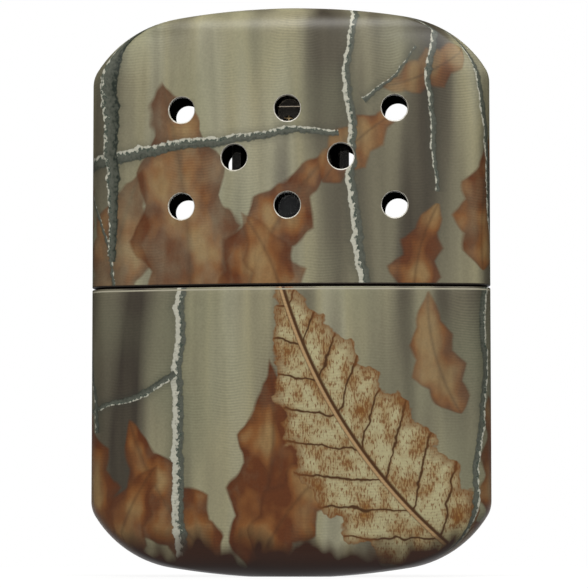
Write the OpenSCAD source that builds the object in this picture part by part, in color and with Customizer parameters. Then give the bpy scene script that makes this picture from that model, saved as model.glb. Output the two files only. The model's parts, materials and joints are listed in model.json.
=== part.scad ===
// Catalytic hand warmer: a fuel tank packed with cotton, a catalytic burner
// that slips over the tank's filler neck, and a vented cover that slides on
// over the tank's collar. Millimetres, +Z up, front face towards -Y, origin
// under the middle of the tank's foot.

/* [Body] */
// Width across the rounded sides
body_w = 70; // [64:0.5:76]
// Thickness in the middle of the faces
body_t = 13.4; // [13:0.1:15]
// Height with the cover closed
body_h = 99.5; // [96:0.5:105]
// Height of the tank's rim, where the cover begins
seam_z = 50.2; // [48:0.1:52]
// Radius of the sides in plan
side_r = 3.6; // [3.2:0.1:4.2]
// Sheet thickness of the two drawn shells
shell_wall = 0.6; // [0.4:0.05:0.8]
// Open gap between the tank's rim and the cover's rim
seam_gap = 0.25; // [0.1:0.05:0.5]

/* [Rounded ends] */
// Radius of the shoulders between an end and the sides
shoulder_r = 19.5; // [18:0.5:21]
// Small radius where a shoulder runs into the straight side
corner_r = 5; // [4:0.5:7]
// Radius of the edge between the faces and an end
edge_r = 4; // [3.2:0.1:4.4]
// Slope where the crown turns into the shoulder, in degrees
crown_slope = 9.5; // [8:0.5:11]
// Slope where the shoulder turns into the corner, in degrees
corner_slope = 58; // [54:1:62]
// Depth of crown taken off by the flat foot under the tank
foot_depth = 0.2; // [0.12:0.02:0.3]
// Depth of crown taken off by the planished flat on top of the cover
top_depth = 0.12; // [0.08:0.02:0.2]

/* [Vents] */
// Diameter of each vent hole in the cover
vent_d = 4.5; // [3.5:0.1:5.5]
// Distance from one column of vents to the next
vent_pitch_x = 18.65; // [16:0.05:20]
// Distance from one row of vents to the next
vent_pitch_z = 8.47; // [7.5:0.01:9.5]
// Distance from the top of the cover down to the first row of vents
vent_drop = 18.2; // [16:0.1:20]

/* [Collar and deck] */
// Sheet thickness of the collar, the deck and the filler neck
inner_wall = 0.5; // [0.4:0.05:0.6]
// Height of the collar above the seam
collar_rise = 7.6; // [6:0.1:8.5]
// Depth to which the collar's band reaches down inside the tank's rim
collar_depth = 5; // [4:0.1:7]
// Sliding clearance between the collar and the cover, all round
cover_clearance = 0.15; // [0.1:0.01:0.25]
// Distance from the top of the collar down to the deck
deck_drop = 2.2; // [1.5:0.1:3]
// Depth of the deck's turned-down rim
deck_rim = 3; // [2:0.1:4]
// Height of the joggle between the collar's band and its sleeve
joggle_h = 0.6; // [0.3:0.1:1]
// Height of the grip dimples on the collar
dimple_h = 0.08; // [0.04:0.01:0.09]
// Width of each grip dimple
dimple_w = 3; // [2:0.1:4]

/* [Filler neck] */
// Width of the filler neck
neck_w = 22; // [20:0.2:23]
// Thickness of the filler neck, front to back
neck_t = 7.2; // [6.8:0.1:7.4]
// Height of the neck above the deck
neck_h = 7; // [6.6:0.1:8]
// Width of the neck's flange under the deck
neck_flange = 1; // [0.7:0.1:1.1]
// How far the neck's rolled lip stands out
neck_bead = 0.07; // [0.03:0.01:0.07]
// Depth of the open mouth above the screen
mouth_depth = 4.6; // [4.4:0.1:5]
// Sheet thickness of the screen and of the burner's diffuser plate
plate_wall = 0.4; // [0.3:0.05:0.5]
// Diameter of the holes in both plates
screen_hole_d = 1.1; // [0.8:0.05:1.2]
// Distance between the holes in both plates
screen_pitch = 1.9; // [1.8:0.05:2.2]
// Depth of felt below the deck, pressed on the cotton
felt_depth = 5; // [3:0.5:7]

/* [Burner] */
// Sheet thickness of the burner's stampings
burner_wall = 0.4; // [0.3:0.05:0.45]
// Running clearance between the burner's skirt and the neck, all round
skirt_clearance = 0.12; // [0.08:0.01:0.2]
// Length of neck that the skirt covers
skirt_cover = 6; // [5:0.1:6.4]
// Width of the cage across its riveted ears
cage_w = 20.6; // [19.5:0.1:21.5]
// Thickness of the cage, front to back
cage_t = 7.4; // [7:0.1:7.8]
// Height of the cage above the shoulder
cage_h = 20.4; // [18:0.1:22]
// Width of each riveted ear on the cage's sides
ear_w = 1.5; // [1.3:0.1:1.7]
// Number of tall windows in each face of the cage
window_count = 5; // [3:1:5]
// Width of each window
window_w = 1.7; // [1.2:0.1:1.9]
// Height of each window
window_h = 10; // [8:0.1:11]
// Distance between windows
window_pitch = 2.9; // [2.6:0.05:3]
// Diameter of the round air holes under the windows
air_hole_d = 1.3; // [0.9:0.1:1.6]
// Depth of the cap's lip over the cage
cap_lip = 1.4; // [1:0.1:2]
// Width of each exhaust slot in the cap
exhaust_w = 3.4; // [2.6:0.1:3.8]
// Distance between exhaust slots
exhaust_pitch = 4.6; // [4.2:0.1:4.8]
// Diameter of the rivet shanks
rivet_d = 0.7; // [0.5:0.05:0.8]
// Diameter of the rivet heads
rivet_head_d = 1.2; // [1:0.05:1.3]
// Height of the rivet heads
rivet_head_h = 0.24; // [0.15:0.01:0.3]
// Distance of the cage's rivets from the ends of its ears
rivet_end = 3; // [2:0.1:5]

/* [Grip springs] */
// Width of each grip spring
spring_w = 1.6; // [1.3:0.1:1.8]
// Thickness of the spring strip
spring_wall = 0.3; // [0.2:0.05:0.4]
// Height of a spring's bearing pad above the skirt's lower rim
spring_rise = 2.2; // [1.8:0.1:2.4]
// Height of the bearing pad
pad_h = 1.2; // [0.8:0.1:1.4]
// Play of the pad in the skirt's slot, all round
pad_play = 0.3; // [0.2:0.05:0.4]
// Distance from the shoulder down to the spring's rivet
spring_rivet_drop = 1.1; // [0.9:0.05:1.3]

/* [Catalyst] */
// Gap between the two plies of the folded mat
mat_slit = 0.8; // [0.6:0.05:1]
// Wire thickness of the gauze on each face of the mat
gauze_wire = 0.25; // [0.2:0.01:0.3]
// Distance between the wires of the gauze
gauze_pitch = 1.15; // [1:0.05:1.4]

/* [Hidden] */

// How finely the outlines are drawn.
END_STEPS = 12;     // steps round each side of an oval
FACE_STEPS = 20;    // steps along each face of an oval
CROWN_STEPS = 3;
SHOULDER_STEPS = 6;
CORNER_STEPS = 3;
$fn = 48;
CUT = 1;            // how far a cutter runs past the surface it cuts
SOFT_GAP = 0.25;    // a soft piece's distance from the metal round it

// Half sizes of the body and the slope lengths of its rounded ends.
half_w = body_w / 2;
half_t = body_t / 2;
crown_r = (half_w - shoulder_r * (sin(corner_slope) - sin(crown_slope))
    - corner_r * (1 - sin(corner_slope))) / sin(crown_slope);
blunt_share = 0.85; // how near the end sections come to a plain slot shape

// Colours of the finishes.
camo_olive = [0.50, 0.48, 0.37];
chrome = [0.78, 0.79, 0.80];
stainless = [0.66, 0.66, 0.64];
cotton_white = [0.93, 0.92, 0.88];
felt_grey = [0.80, 0.78, 0.72];
mat_grey = [0.42, 0.41, 0.40];

// ---- Ovals: two wide face arcs that run into two small side arcs ----

function face_r(a, b, r) = ((a - r) * (a - r) + b * b - r * r) / (2 * (b - r));
function side_turn(a, b, r) = atan2(face_r(a, b, r) - b, a - r);

// Points round an oval of half width a, half thickness b and side radius r.
function oval_points(a, b, r) =
    let (big = face_r(a, b, r), turn = side_turn(a, b, r), face = 180 - 2 * turn)
    concat(
        [for (i = [0:END_STEPS - 1]) let (t = -turn + 2 * turn * i / END_STEPS)
            [a - r + r * cos(t), r * sin(t)]],
        [for (i = [0:FACE_STEPS - 1]) let (t = turn + face * i / FACE_STEPS)
            [big * cos(t), b - big + big * sin(t)]],
        [for (i = [0:END_STEPS - 1]) let (t = 180 - turn + 2 * turn * i / END_STEPS)
            [r - a + r * cos(t), r * sin(t)]],
        [for (i = [0:FACE_STEPS - 1]) let (t = 180 + turn + face * i / FACE_STEPS)
            [big * cos(t), big - b + big * sin(t)]]
    );

module oval(a, b, r) polygon(oval_points(a, b, r));

// ---- Drawn shells ----

// Profile of a rounded end by its slope: [half width, depth below the crown].
function end_x(slope) =
    slope <= crown_slope ? crown_r * sin(slope)
    : slope <= corner_slope
        ? end_x(crown_slope) + shoulder_r * (sin(slope) - sin(crown_slope))
        : end_x(corner_slope) + corner_r * (sin(slope) - sin(corner_slope));
function end_depth(slope) =
    slope <= crown_slope ? crown_r * (1 - cos(slope))
    : slope <= corner_slope
        ? end_depth(crown_slope) + shoulder_r * (cos(crown_slope) - cos(slope))
        : end_depth(corner_slope) + corner_r * (cos(corner_slope) - cos(slope));

// Slopes at which a rounded end is drawn, from its flat to its straight side.
function end_slopes(flat_depth) =
    let (first = acos(1 - flat_depth / crown_r))
    concat(
        [for (i = [0:CROWN_STEPS - 1])
            first + (crown_slope - first) * i / CROWN_STEPS],
        [for (i = [0:SHOULDER_STEPS - 1])
            crown_slope + (corner_slope - crown_slope) * i / SHOULDER_STEPS],
        [for (i = [0:CORNER_STEPS])
            corner_slope + (90 - corner_slope) * i / CORNER_STEPS]
    );

// Half thickness at a depth below the crown, set in from the outer face.
function end_half_t(depth, inset) =
    depth >= edge_r ? half_t - inset
    : half_t - edge_r
        + sqrt(max(0, pow(edge_r - inset, 2) - pow(edge_r - depth, 2)));

// Side radius of the section at that depth: slot-like at the end, then side_r.
function end_side_r(depth, inset) =
    let (share = min(1, depth / edge_r))
    end_half_t(depth, inset)
        * (blunt_share + ((side_r - inset) / (half_t - inset) - blunt_share) * share);

// One level ring of a drawn shell, [points, height], set in from the outer face.
function end_ring(slope, height, flat_depth, inset) =
    let (depth = end_depth(slope) + inset * cos(slope))
    [oval_points(end_x(slope) - inset * sin(slope), end_half_t(depth, inset),
        end_side_r(depth, inset)), height + flat_depth - depth];

function rim_ring(z, inset) =
    [oval_points(half_w - inset, half_t - inset, side_r - inset), z];

// A skin over rings of equal point counts, closed by a face at each end.
module skin(rings) {
    n = len(rings[0][0]);
    points = [for (ring = rings) for (p = ring[0]) [p[0], p[1], ring[1]]];
    sides = [for (k = [0:len(rings) - 2]) for (i = [0:n - 1])
        let (a = k * n + i, b = k * n + (i + 1) % n)
            each [[a, a + n, b + n], [a, b + n, b]]];
    first = [for (i = [0:n - 1]) i];
    last = [for (i = [0:n - 1]) len(points) - 1 - i];
    polyhedron(points, concat(sides, [first, last]), convexity = 6);
}

// A shell drawn from sheet: rim at z 0, rounded end up at the given height.
module drawn_shell(height, flat_depth) {
    slopes = end_slopes(flat_depth);
    skin(concat(
        [for (s = slopes) end_ring(s, height, flat_depth, shell_wall)],
        [rim_ring(0, shell_wall), rim_ring(0, 0)],
        [for (i = [len(slopes) - 1:-1:0])
            end_ring(slopes[i], height, flat_depth, 0)]
    ));
}

// ---- Heights of what stands on the tank ----

collar_top = seam_z + collar_rise;
deck_z = collar_top - deck_drop;                // top face of the deck
neck_top = deck_z + neck_h;
screen_z = neck_top - mouth_depth;              // top face of the screen
shoulder_z = neck_top + burner_wall;            // top face of the burner's shoulder
skirt_z = neck_top - skirt_cover;               // lower rim of the skirt
cage_top = shoulder_z + cage_h;
cover_z = seam_z + seam_gap;                    // rim of the cover
vent_z = body_h - vent_drop;                    // first row of vents

module tank_shell()
    color(camo_olive)
        translate([0, 0, seam_z])
            mirror([0, 0, 1])
                drawn_shell(seam_z, foot_depth);

module cover_shell()
    color(camo_olive)
        difference() {
            translate([0, 0, cover_z])
                drawn_shell(body_h - cover_z, top_depth);
            vents();
        }

// Three rows of vents, staggered, each drilled through both faces.
module vents()
    for (row = [0:2], column = row == 1 ? [-0.5, 0.5] : [-1, 0, 1])
        translate([column * vent_pitch_x, 0, vent_z - row * vent_pitch_z])
            rotate([90, 0, 0])
                cylinder(d = vent_d, h = body_t + 2 * CUT, center = true);

// ---- Collar, deck and filler neck ----

guide_inset = shell_wall + cover_clearance;     // collar's face inside the cover
dimple_x = 0.3 * body_w;                        // grip dimples, off the middle

module tank_collar()
    color(chrome) {
        difference() {
            union() {
                translate([0, 0, seam_z - collar_depth])
                    linear_extrude(collar_depth - joggle_h)
                        oval(half_w - shell_wall, half_t - shell_wall,
                            side_r - shell_wall);
                translate([0, 0, seam_z - joggle_h])
                    linear_extrude(collar_rise + joggle_h)
                        oval(half_w - guide_inset, half_t - guide_inset,
                            side_r - guide_inset);
                for (x = [-1, 1], y = [-1, 1]) grip_dimple(x, y);
            }
            translate([0, 0, seam_z - collar_depth - CUT])
                linear_extrude(collar_depth + collar_rise + 2 * CUT)
                    oval(bore_w, bore_t, bore_r);
        }
    }

// Inner face of the collar, which also carries the deck.
bore_w = half_w - guide_inset - inner_wall;
bore_t = half_t - guide_inset - inner_wall;
bore_r = side_r - guide_inset - inner_wall;

// A shallow pressed dimple that holds the cover by friction.
module grip_dimple(x, y) {
    face = face_y(half_w - guide_inset, half_t - guide_inset,
        side_r - guide_inset, dimple_x);
    turn = asin(dimple_x / face_r(half_w - guide_inset, half_t - guide_inset,
        side_r - guide_inset));
    r = (dimple_w * dimple_w / 4 + dimple_h * dimple_h) / (2 * dimple_h);
    translate([x * dimple_x, y * face, seam_z + collar_rise / 2])
        rotate(-x * y * turn)
            intersection() {
                translate([0, y * (dimple_h - r), 0]) sphere(r, $fn = 90);
                cube([dimple_w, 2 * inner_wall, dimple_w], center = true);
            }
}

// Half thickness of an oval at a distance x from its middle.
function face_y(a, b, r, x) =
    let (big = face_r(a, b, r)) b - big + sqrt(big * big - x * x);

neck_a = neck_w / 2;
neck_b = neck_t / 2;
neck_r = 0.9 * neck_b;

module tank_deck()
    color(chrome)
        difference() {
            translate([0, 0, deck_z - deck_rim])
                linear_extrude(deck_rim)
                    oval(bore_w, bore_t, bore_r);
            translate([0, 0, deck_z - deck_rim - CUT])
                linear_extrude(deck_rim + CUT - inner_wall)
                    oval(bore_w - inner_wall, bore_t - inner_wall,
                        bore_r - inner_wall);
            translate([0, 0, deck_z - inner_wall - CUT])
                linear_extrude(inner_wall + 2 * CUT)
                    oval(neck_a, neck_b, neck_r);
        }

lip_h = 0.8;        // height of the rolled lip
lip_drop = 0.4;     // from the neck's top down to it

module filler_neck()
    color(chrome) {
        base = deck_z - 2 * inner_wall;
        difference() {
            union() {
                translate([0, 0, base])
                    linear_extrude(neck_top - base) oval(neck_a, neck_b, neck_r);
                translate([0, 0, base])
                    linear_extrude(inner_wall)
                        oval(neck_a + neck_flange, neck_b + neck_flange,
                            neck_r + neck_flange);
                translate([0, 0, neck_top - lip_drop - lip_h])
                    linear_extrude(lip_h)
                        oval(neck_a + neck_bead, neck_b + neck_bead,
                            neck_r + neck_bead);
            }
            translate([0, 0, base - CUT])
                linear_extrude(neck_top - base + 2 * CUT)
                    oval(neck_a - inner_wall, neck_b - inner_wall,
                        neck_r - inner_wall);
        }
    }

// Centres of a staggered field of holes that stay inside an oval plate.
function hole_field(a, b) =
    let (
        rim = 0.8 * screen_hole_d,
        row_pitch = 0.8 * screen_pitch,
        rows = floor(b / row_pitch),
        columns = ceil(a / screen_pitch)
    )
    [for (row = [-rows:rows], i = [-columns:columns])
        let (x = (i + (row % 2 == 0 ? 0 : 0.5)) * screen_pitch, y = row * row_pitch)
            if (pow(x / (a - rim), 2) + pow(y / (b - rim), 2) < 1) [x, y]];

module perforated_plate(a, b, r)
    linear_extrude(plate_wall)
        difference() {
            oval(a, b, r);
            for (p = hole_field(a, b)) translate(p)
                circle(d = screen_hole_d, $fn = 16);
        }

module neck_screen()
    color(stainless)
        translate([0, 0, screen_z - plate_wall])
            perforated_plate(neck_a - inner_wall, neck_b - inner_wall,
                neck_r - inner_wall);

module wick_felt()
    color(felt_grey) {
        top = screen_z - plate_wall - SOFT_GAP;
        inset = inner_wall + SOFT_GAP;
        base = packing_top;
        translate([0, 0, base - felt_depth])
            linear_extrude(felt_depth)
                oval(neck_a, neck_b, neck_r);
        translate([0, 0, base])
            linear_extrude(top - base)
                oval(neck_a - inset, neck_b - inset, neck_r - inset);
    }

packing_top = deck_z - 2 * inner_wall - SOFT_GAP;

// The batting fills the tank round the felt, with its lower end rounded.
module cotton_batting()
    color(cotton_white) {
        inset = shell_wall + SOFT_GAP;
        slopes = end_slopes(foot_depth);
        rim_inset = inner_wall + SOFT_GAP;
        waist = seam_z - collar_depth - SOFT_GAP;
        translate([0, 0, waist])
            mirror([0, 0, 1])
                skin(concat(
                    [rim_ring(0, inset)],
                    [for (i = [len(slopes) - 1:-1:0])
                        end_ring(slopes[i], waist, foot_depth, inset)]
                ));
        translate([0, 0, waist])
            difference() {
                linear_extrude(packing_top - waist)
                    oval(bore_w - rim_inset, bore_t - rim_inset, bore_r - rim_inset);
                translate([0, 0, packing_top - waist - felt_depth - SOFT_GAP])
                    linear_extrude(felt_depth + SOFT_GAP + CUT)
                        oval(neck_a + SOFT_GAP, neck_b + SOFT_GAP,
                            neck_r + SOFT_GAP);
            }
    }

// ---- Burner ----

skirt_a = neck_a + skirt_clearance + burner_wall;
skirt_b = neck_b + skirt_clearance + burner_wall;
skirt_r = neck_r + skirt_clearance + burner_wall;
cage_a = cage_w / 2 - ear_w;
cage_b = cage_t / 2;
cage_r = 0.86 * cage_b;
spring_z = skirt_z + spring_rise;               // middle of the bearing pads
spring_rivet_z = neck_top - spring_rivet_drop;

// Skirt with a flat shoulder that rests on the neck's lip.
module burner_skirt()
    color(chrome)
        difference() {
            translate([0, 0, skirt_z])
                linear_extrude(shoulder_z - skirt_z) oval(skirt_a, skirt_b, skirt_r);
            translate([0, 0, skirt_z - CUT])
                linear_extrude(skirt_cover + CUT)
                    oval(skirt_a - burner_wall, skirt_b - burner_wall,
                        skirt_r - burner_wall);
            translate([0, 0, neck_top - CUT])
                linear_extrude(burner_wall + 2 * CUT)
                    oval(cage_a, cage_b, cage_r);
            for (side = [-1, 1]) {
                translate([side * skirt_a, 0, spring_z])
                    cube([4 * burner_wall, spring_w + 2 * pad_play,
                        pad_h + 2 * pad_play], center = true);
                translate([side * skirt_a, 0, spring_rivet_z])
                    rotate([0, 90, 0])
                        cylinder(d = rivet_d, h = 2 * CUT, center = true);
            }
        }

ear_gap = 0.3;      // between the ears and the cap's lip
top_band = 1.6;     // plain sheet between the cap's lip and the windows
ear_top = cage_top - cap_lip - ear_gap;
window_z = cage_top - cap_lip - top_band - window_h / 2; // middle of the windows
air_hole_z = (window_z - window_h / 2 + shoulder_z) / 2;
rivet_z = [shoulder_z + rivet_end, ear_top - rivet_end];
rivet_x = (cage_w - ear_w) / 2;

// Front half of the cage: a stamped half oval with ears, windows and air holes.
module cage_half()
    difference() {
        union() {
            translate([0, 0, neck_top])
                linear_extrude(cage_top - neck_top)
                    intersection() {
                        difference() {
                            oval(cage_a, cage_b, cage_r);
                            oval(cage_a - burner_wall, cage_b - burner_wall,
                                cage_r - burner_wall);
                        }
                        translate([-cage_w, -cage_t])
                            square([2 * cage_w, cage_t]);
                    }
            for (side = [-1, 1])
                translate([side * (rivet_x - burner_wall / 2), -burner_wall / 2,
                        (shoulder_z + ear_top) / 2])
                    cube([ear_w + burner_wall, burner_wall, ear_top - shoulder_z],
                        center = true);
        }
        for (i = [0:window_count - 1])
            translate([(i - (window_count - 1) / 2) * window_pitch, 0, window_z])
                window();
        for (i = [0:window_count - 2])
            translate([(i - (window_count - 2) / 2) * window_pitch, 0, air_hole_z])
                rotate([90, 0, 0]) cylinder(d = air_hole_d, h = cage_t);
        for (side = [-1, 1], z = rivet_z)
            translate([side * rivet_x, CUT, z])
                rotate([90, 0, 0]) cylinder(d = rivet_d, h = 2 * CUT);
    }

// A tall window with round ends, cut through one face.
module window()
    rotate([90, 0, 0])
        linear_extrude(cage_t)
            union() {
                square([window_w, window_h - window_w], center = true);
                for (end = [-1, 1])
                    translate([0, end * (window_h - window_w) / 2])
                        circle(d = window_w);
            }

module cage_front() color(chrome) cage_half();

module cage_rear() color(chrome) rotate([0, 0, 180]) cage_half();

cap_clearance = 0.05;

// Cap pressed over the cage's top, with three exhaust slots.
module burner_cap()
    color(chrome) {
        gap = cap_clearance + burner_wall;
        difference() {
            translate([0, 0, cage_top - cap_lip])
                linear_extrude(cap_lip + burner_wall)
                    oval(cage_a + gap, cage_b + gap, cage_r + gap);
            translate([0, 0, cage_top - cap_lip - CUT])
                linear_extrude(cap_lip + CUT)
                    oval(cage_a + cap_clearance, cage_b + cap_clearance,
                        cage_r + cap_clearance);
            for (i = [-1:1])
                translate([i * exhaust_pitch, 0, cage_top - CUT])
                    linear_extrude(burner_wall + 2 * CUT)
                        hull()
                            for (end = [-1, 1])
                                translate([end * (exhaust_w - window_w) / 2, 0])
                                    circle(d = window_w);
        }
    }

module diffuser_plate()
    color(stainless)
        translate([0, 0, diffuser_z])
            perforated_plate(cage_a - burner_wall, cage_b - burner_wall,
                cage_r - burner_wall);

diffuser_z = neck_top + 0.05;                   // clear of the neck's lip
gauze_gap = 0.05;                               // between the gauze and the cage
mat_inset = burner_wall + gauze_gap + gauze_wire + SOFT_GAP / 2;
mat_half_t = cage_b - mat_inset;
mat_ply = mat_half_t - mat_slit / 2;
mat_base = diffuser_z + plate_wall + SOFT_GAP;
mat_top = cage_top - SOFT_GAP;

// Glass-fibre mat folded over its top into two plies, with a slit between.
module catalyst_mat()
    color(mat_grey) {
        difference() {
            translate([0, 0, mat_base])
                linear_extrude(mat_top - mat_base)
                    oval(cage_a - mat_inset, mat_half_t, cage_r - mat_inset);
            translate([-cage_a, -mat_slit / 2, mat_base - CUT])
                cube([2 * cage_a, mat_slit, mat_top - mat_base + CUT - mat_ply]);
            translate([0, 0, mat_top - mat_ply])
                rotate([0, 90, 0])
                    cylinder(d = mat_slit, h = 2 * cage_a, center = true);
        }
    }

// Woven wire gauze, bowed to lie between the mat and the cage's face.
module gauze()
    intersection() {
        inset = burner_wall + gauze_gap;
        translate([0, 0, mat_base])
            linear_extrude(mat_top - mat_base)
                difference() {
                    oval(cage_a - inset, cage_b - inset, cage_r - inset);
                    oval(cage_a - inset - gauze_wire, cage_b - inset - gauze_wire,
                        cage_r - inset - gauze_wire);
                }
        translate([0, 0, window_z])
            rotate([90, 0, 0])
                linear_extrude(cage_t)
                    gauze_grid(round(gauze_half_w / gauze_pitch), gauze_rows);
    }

gauze_half_w = (window_count - 1) / 2 * window_pitch + window_w / 2 + SOFT_GAP;
gauze_rows = ceil(window_h / 2 / gauze_pitch);

module gauze_grid(columns, rows) {
    w = 2 * columns * gauze_pitch + gauze_wire;
    h = 2 * rows * gauze_pitch + gauze_wire;
    difference() {
        square([w, h], center = true);
        for (i = [-columns:columns - 1], k = [-rows:rows - 1])
            translate([(i + 0.5) * gauze_pitch, (k + 0.5) * gauze_pitch])
                square(gauze_pitch - gauze_wire, center = true);
    }
}

module gauze_front() color(stainless) gauze();

module gauze_rear() color(stainless) rotate([0, 0, 180]) gauze();

// Leaf spring on the right end of the skirt. Its lower end dips through the
// slot to bear on the neck, and its upper end is riveted to the skirt.
pad_gap = 0.03;     // between a pad and the neck's lip, which it slides past
pad_x = neck_a + neck_bead + pad_gap;
spring_top = spring_rivet_z + 0.7 * rivet_head_d;

module grip_spring()
    difference() {
        translate([0, spring_w / 2, 0])
            rotate([90, 0, 0])
                linear_extrude(spring_w) {
                    translate([skirt_a, spring_z])
                        square([spring_wall, spring_top - spring_z]);
                    translate([pad_x, spring_z - pad_h / 2])
                        square([skirt_a + spring_wall - pad_x, pad_h]);
                }
        translate([skirt_a - CUT, 0, spring_rivet_z])
            rotate([0, 90, 0]) cylinder(d = rivet_d, h = 2 * CUT);
    }

module grip_spring_right() color(stainless) grip_spring();

module grip_spring_left() color(stainless) rotate([0, 0, 180]) grip_spring();

// A rivet along Y through a stack of the given thickness, both heads shown.
module rivet(stack) {
    rotate([90, 0, 0]) cylinder(d = rivet_d, h = stack, center = true);
    for (side = [-1, 1])
        translate([0, side * (stack + rivet_head_h) / 2, 0])
            rotate([90, 0, 0])
                cylinder(d = rivet_head_d, h = rivet_head_h, center = true);
}

module cage_rivets()
    color(stainless)
        for (side = [-1, 1], z = rivet_z)
            translate([side * rivet_x, 0, z]) rivet(2 * burner_wall);

// Rivets that hold the springs: a head outside, the shank through the skirt.
module spring_rivets()
    color(stainless)
        for (turn = [0, 180])
            rotate([0, 0, turn])
                translate([skirt_a - burner_wall, 0, spring_rivet_z])
                    rotate([0, 90, 0]) {
                        cylinder(d = rivet_d, h = burner_wall + spring_wall);
                        translate([0, 0, burner_wall + spring_wall])
                            cylinder(d = rivet_head_d, h = rivet_head_h);
                    }

tank_shell();
tank_collar();
tank_deck();
filler_neck();
neck_screen();
wick_felt();
cotton_batting();
cover_shell();
burner_skirt();
cage_front();
cage_rear();
burner_cap();
diffuser_plate();
catalyst_mat();
gauze_front();
gauze_rear();
grip_spring_left();
grip_spring_right();
cage_rivets();
spring_rivets();
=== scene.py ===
import json
import math

import bmesh
import bpy
from mathutils import Matrix, Vector
from mathutils.bvhtree import BVHTree
from mathutils.noise import fractal

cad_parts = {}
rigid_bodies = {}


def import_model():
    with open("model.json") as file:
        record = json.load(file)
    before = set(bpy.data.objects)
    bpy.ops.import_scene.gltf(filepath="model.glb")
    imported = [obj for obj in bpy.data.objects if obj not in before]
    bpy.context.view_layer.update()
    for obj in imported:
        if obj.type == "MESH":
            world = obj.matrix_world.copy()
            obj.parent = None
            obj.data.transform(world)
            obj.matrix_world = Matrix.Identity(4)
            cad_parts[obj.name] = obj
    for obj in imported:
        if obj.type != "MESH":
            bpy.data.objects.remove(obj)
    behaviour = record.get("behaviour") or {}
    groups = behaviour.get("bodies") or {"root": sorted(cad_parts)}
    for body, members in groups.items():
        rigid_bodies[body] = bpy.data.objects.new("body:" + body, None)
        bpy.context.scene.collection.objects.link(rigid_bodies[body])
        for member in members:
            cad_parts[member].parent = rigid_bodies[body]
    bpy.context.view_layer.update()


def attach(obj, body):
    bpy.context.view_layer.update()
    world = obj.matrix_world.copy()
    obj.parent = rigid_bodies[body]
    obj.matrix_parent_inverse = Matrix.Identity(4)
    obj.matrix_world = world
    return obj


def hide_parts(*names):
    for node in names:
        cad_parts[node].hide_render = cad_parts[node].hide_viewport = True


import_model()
mm = 0.001


def toLinear(hexCode):
    channels = [int(hexCode[i:i + 2], 16) / 255 for i in (1, 3, 5)]
    return [c / 12.92 if c <= 0.04045 else ((c + 0.055) / 1.055) ** 2.4
            for c in channels] + [1.0]


def addNode(tree, kind, settings=None, inputs=None):
    # settings are the node's own properties, inputs its sockets by name or number
    node = tree.nodes.new("ShaderNode" + kind)
    for name, value in (settings or {}).items():
        setattr(node, name, value)
    for name, value in (inputs or {}).items():
        if isinstance(value, bpy.types.NodeSocket):
            tree.links.new(value, node.inputs[name])
        else:
            node.inputs[name].default_value = value
    return node


def calc(tree, operation, *values, clamp=False):
    # one Math node, given back as its output socket
    return addNode(tree, "Math", {"operation": operation, "use_clamp": clamp},
                   dict(enumerate(values))).outputs[0]


def blend(tree, factor, under, over):
    # a colour laid over another by a factor; hex codes and sockets both serve
    colours = [toLinear(c) if isinstance(c, str) else c for c in (under, over)]
    node = addNode(tree, "Mix", {"data_type": "RGBA"},
                   {0: factor, 6: colours[0], 7: colours[1]})
    return node.outputs[2]


def ramp(tree, factor, stops):
    # a colour ramp from (place, hex code) pairs
    node = addNode(tree, "ValToRGB", None, {0: factor})
    band = node.color_ramp
    while len(band.elements) < len(stops):
        band.elements.new(0.5)
    for element, (place, hexCode) in zip(band.elements, stops):
        element.position = place
        element.color = toLinear(hexCode)
    return node.outputs[0]


def noise(tree, vector, scale, detail=2.0, place=(0, 0, 0)):
    # noise over a vector, stretched by a scale for each axis
    turned = addNode(tree, "Mapping", None,
                     {"Vector": vector, "Scale": scale, "Location": place}).outputs[0]
    return addNode(tree, "TexNoise", None,
                   {"Vector": turned, "Scale": 1.0, "Detail": detail}).outputs[0]


def newMaterial(name, **values):
    # a Principled shader with its plain values set, ready for its patterns
    material = bpy.data.materials.new(name)
    material.use_nodes = True
    tree = material.node_tree
    shader = next(n for n in tree.nodes if n.type == "BSDF_PRINCIPLED")
    for socket, value in values.items():
        shader.inputs[socket.replace("_", " ")].default_value = value
    return material, tree, shader


def newObject(name, bm, materials, body, replaced=(), sharpAngle=35):
    # turns a bmesh into a finished piece that rides on a body
    mesh = bpy.data.meshes.new(name)
    for face in bm.faces:
        face.smooth = True
    for edge in bm.edges:
        if len(edge.link_faces) == 2 and edge.calc_face_angle() > math.radians(sharpAngle):
            edge.smooth = False
    bm.to_mesh(mesh)
    bm.free()
    for material in materials:
        mesh.materials.append(material)
    piece = bpy.data.objects.new(name, mesh)
    bpy.context.scene.collection.objects.link(piece)
    if body:
        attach(piece, body)
    if replaced:
        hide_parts(*replaced)
    return piece


def cutWith(piece, cutter, weld):
    # takes the cutter away from the piece and keeps the result as its mesh
    modifier = piece.modifiers.new("cut", "BOOLEAN")
    modifier.object = cutter
    modifier.solver = "EXACT"
    depsgraph = bpy.context.evaluated_depsgraph_get()
    cut = bpy.data.meshes.new_from_object(piece.evaluated_get(depsgraph))
    piece.modifiers.clear()
    piece.data = cut
    bpy.data.objects.remove(cutter)
    # a cut can leave two points in one place, with faces of no area between them
    bm = bmesh.new()
    bm.from_mesh(cut)
    bmesh.ops.dissolve_degenerate(bm, dist=weld * mm, edges=bm.edges)
    bm.to_mesh(cut)
    bm.free()


cameraSet = {
    "yaw": 4.88, "pitch": -4.8,          # degrees round and above the object
    "distance": 0.5584, "lens": 194.97,  # metres and millimetres
    "target": (0, 0, 0.04975),
    "shift": (0.00598, -0.00378),        # the photo's framing
    "sensor": 36, "clip": (0.01, 20),
}


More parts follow.
